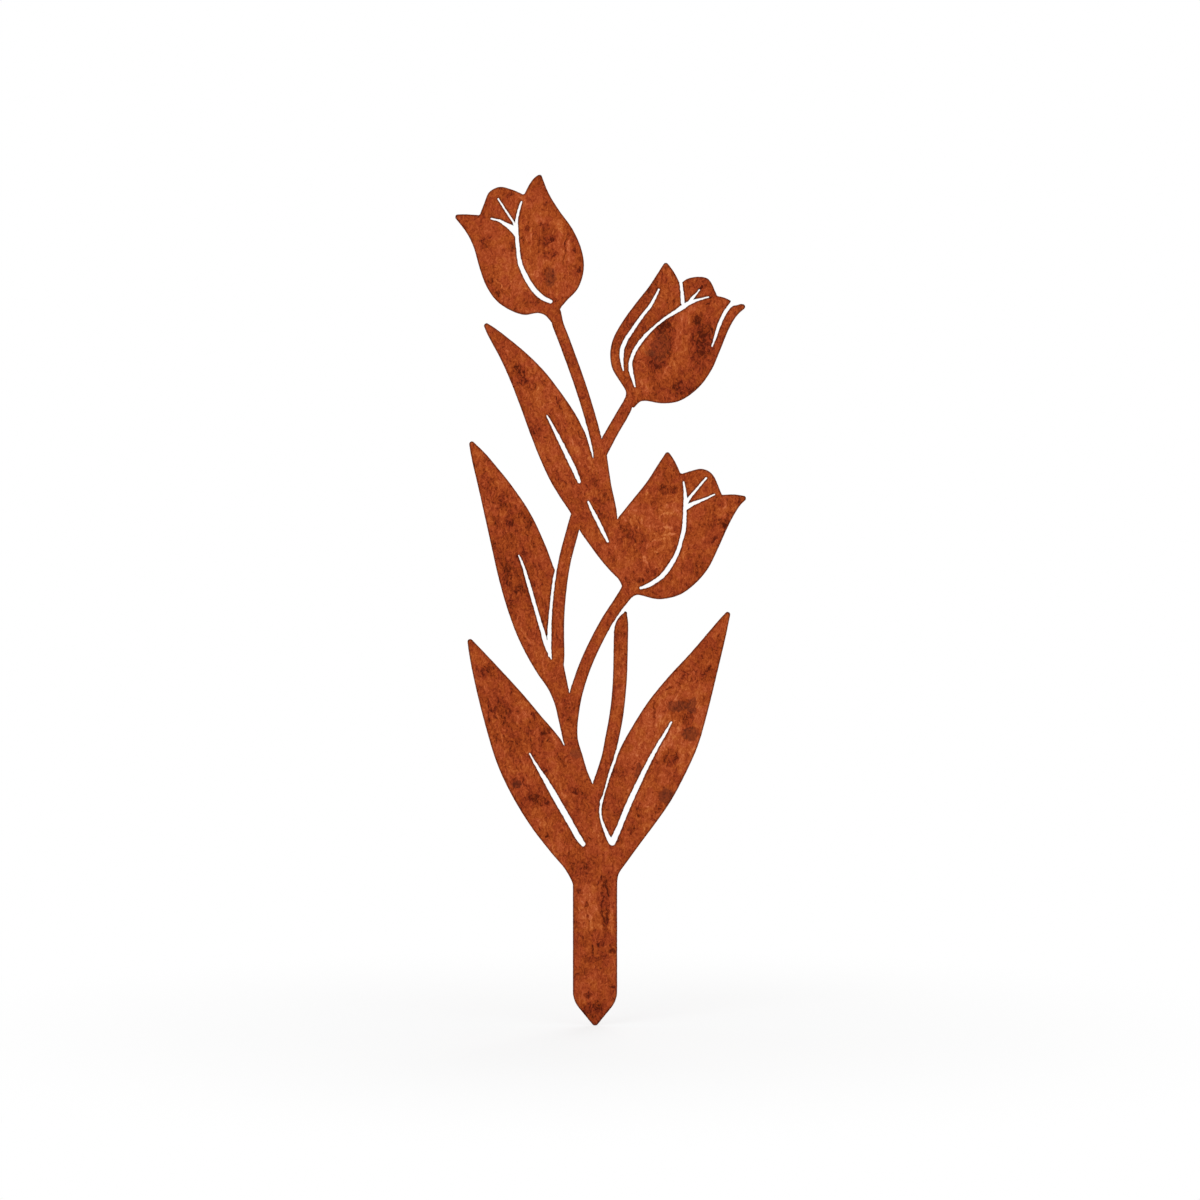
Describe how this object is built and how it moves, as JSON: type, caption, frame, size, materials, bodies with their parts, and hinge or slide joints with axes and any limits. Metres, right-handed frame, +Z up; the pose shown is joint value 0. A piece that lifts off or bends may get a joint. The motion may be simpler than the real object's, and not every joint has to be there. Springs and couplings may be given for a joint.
{
  "type": "garden stake",
  "caption": "Flat garden stake cut from rusted sheet steel as a spray of tulips with slotted petals and leaves on branching stems, above a pointed spike that is pushed into the soil.",
  "frame": {"origin": "on the ground line, in the middle of the spike's width and of the sheet's thickness", "axes": "+Z up along the stake, +X to the right as seen from the front, +Y to the back: the front face looks along -Y"},
  "size_m": [0.205, 0.002, 0.6003],
  "materials": {
    "rusted_steel": "matte"
  },
  "bodies": {
    "root": {"tulip_stake": "rusted_steel"}
  },
  "joints": []
}
